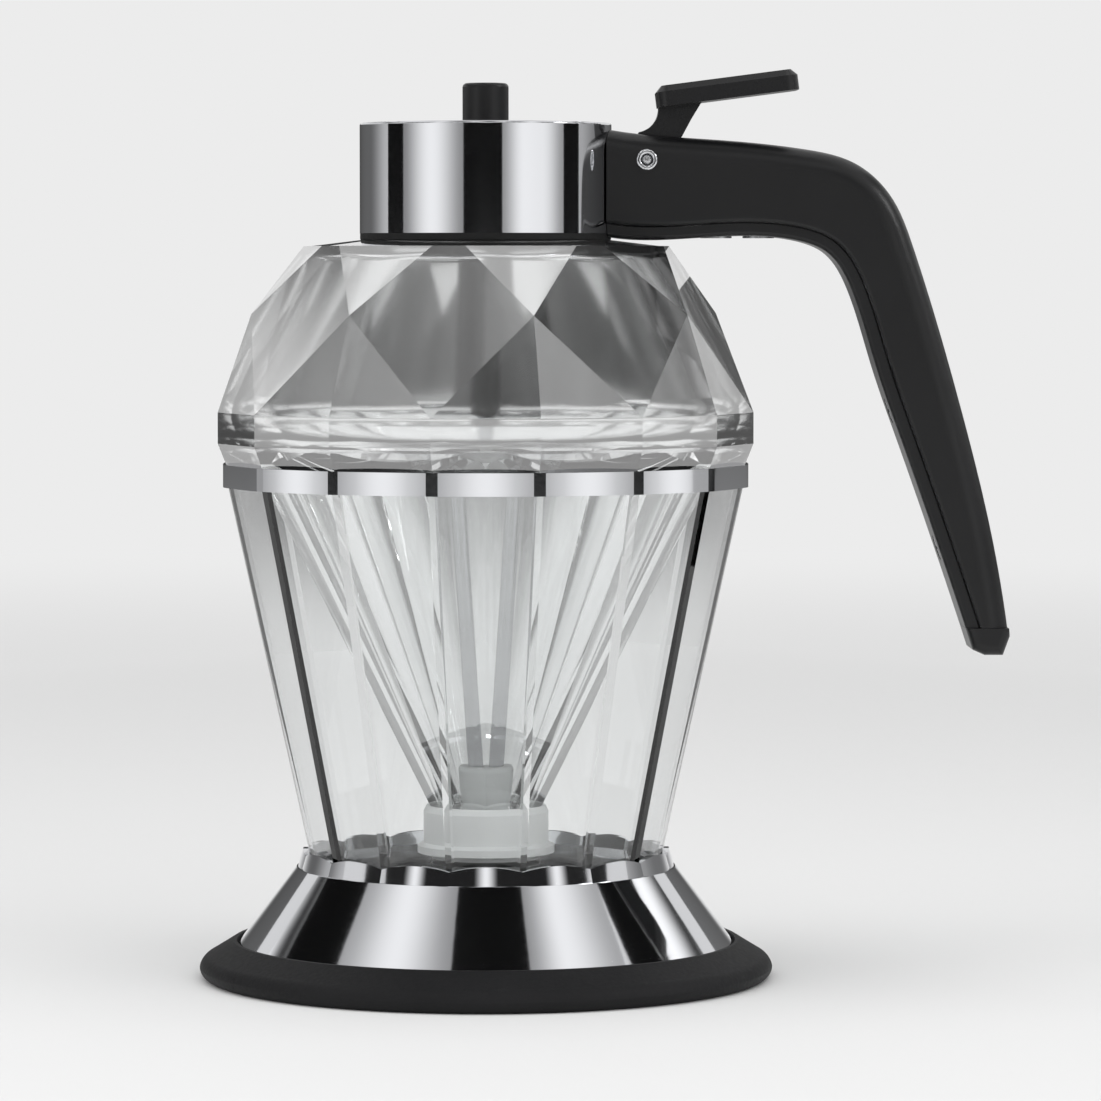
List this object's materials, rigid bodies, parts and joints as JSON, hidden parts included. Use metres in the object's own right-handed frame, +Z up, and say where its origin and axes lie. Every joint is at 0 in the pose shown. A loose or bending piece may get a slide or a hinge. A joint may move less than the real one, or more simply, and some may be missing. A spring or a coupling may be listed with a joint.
{
  "type": "oil dispenser",
  "caption": "Faceted glass oil jar with a bottom outlet plug, screwed chrome head, hooked handle and thumb lever, resting in a clear panelled cup on a chrome skirt and black foot",
  "frame": {"origin": "on the table, at the centre of the foot's underside, below the jar's axis", "axes": "+Z up along the jar's axis, +X towards the handle, -Y is the front that the picture shows"},
  "size_m": [0.1338, 0.095, 0.15],
  "materials": {
    "chrome": "polished chrome plate",
    "cup_glass": "clear polished",
    "jar_glass": "clear polished",
    "black_plastic": "satin moulded",
    "lever_plastic": "gloss moulded",
    "silicone": "translucent white, satin",
    "plug_silicone": "translucent grey, satin",
    "black_rubber": "matte",
    "steel": "turned stainless steel"
  },
  "bodies": {
    "stand": {"foot_pad": "black_plastic", "base_core": "black_plastic", "base_skirt": "chrome", "scalloped_ring": "chrome", "stand_cup": "cup_glass", "rim_band": "chrome", "base_screws": "steel"},
    "jar": {"jar_glass": "jar_glass", "outlet_nozzle": "silicone"},
    "riser": {"neck_gasket": "black_rubber"},
    "head": {"collar_shell": "chrome", "lid_body": "black_plastic", "lid_seal": "black_rubber", "knob_guide": "black_plastic", "handle_shell": "black_plastic", "handle_inner_cover": "black_plastic", "handle_tip": "black_plastic", "handle_screws": "steel", "grip_screws": "steel", "pivot_pin": "steel", "pin_ferrules": "chrome", "return_spring": "steel"},
    "lever": {"thumb_lever": "lever_plastic"},
    "rod": {"pull_rod": "steel", "stem_sleeve": "lever_plastic", "lift_collar": "steel", "top_knob": "black_plastic", "stopper_plug": "plug_silicone"}
  },
  "joints": [
    {"name": "jar_lift", "type": "slide", "parent": "stand", "child": "jar", "axis": [0, 0, 1], "range_m": [0, 0.09]},
    {"name": "head_rise", "type": "slide", "parent": "jar", "child": "riser", "axis": [0, 0, 1], "range_m": [0, 0.0042]},
    {"name": "head_turn", "type": "hinge", "parent": "riser", "child": "head", "pos_m": [0, 0, 0.125], "axis": [0, 0, 1], "range_deg": [0, 630.5]},
    {"name": "lever_press", "type": "hinge", "parent": "head", "child": "lever", "pos_m": [0.0264, 0, 0.1351], "axis": [0, 1, 0], "range_deg": [0, 10.1]},
    {"name": "rod_lift", "type": "slide", "parent": "head", "child": "rod", "axis": [0, 0, 1], "range_m": [0, 0.0046], "stiffness_N_per_m": 360, "springref_m": -0.003, "deforming": ["return_spring"]}
  ],
  "couplings": [
    {"joint": "head_turn", "follows": "head_rise", "rad_per_m": 2618},
    {"joint": "lever_press", "follows": "rod_lift", "rad_per_m": 37.879}
  ]
}
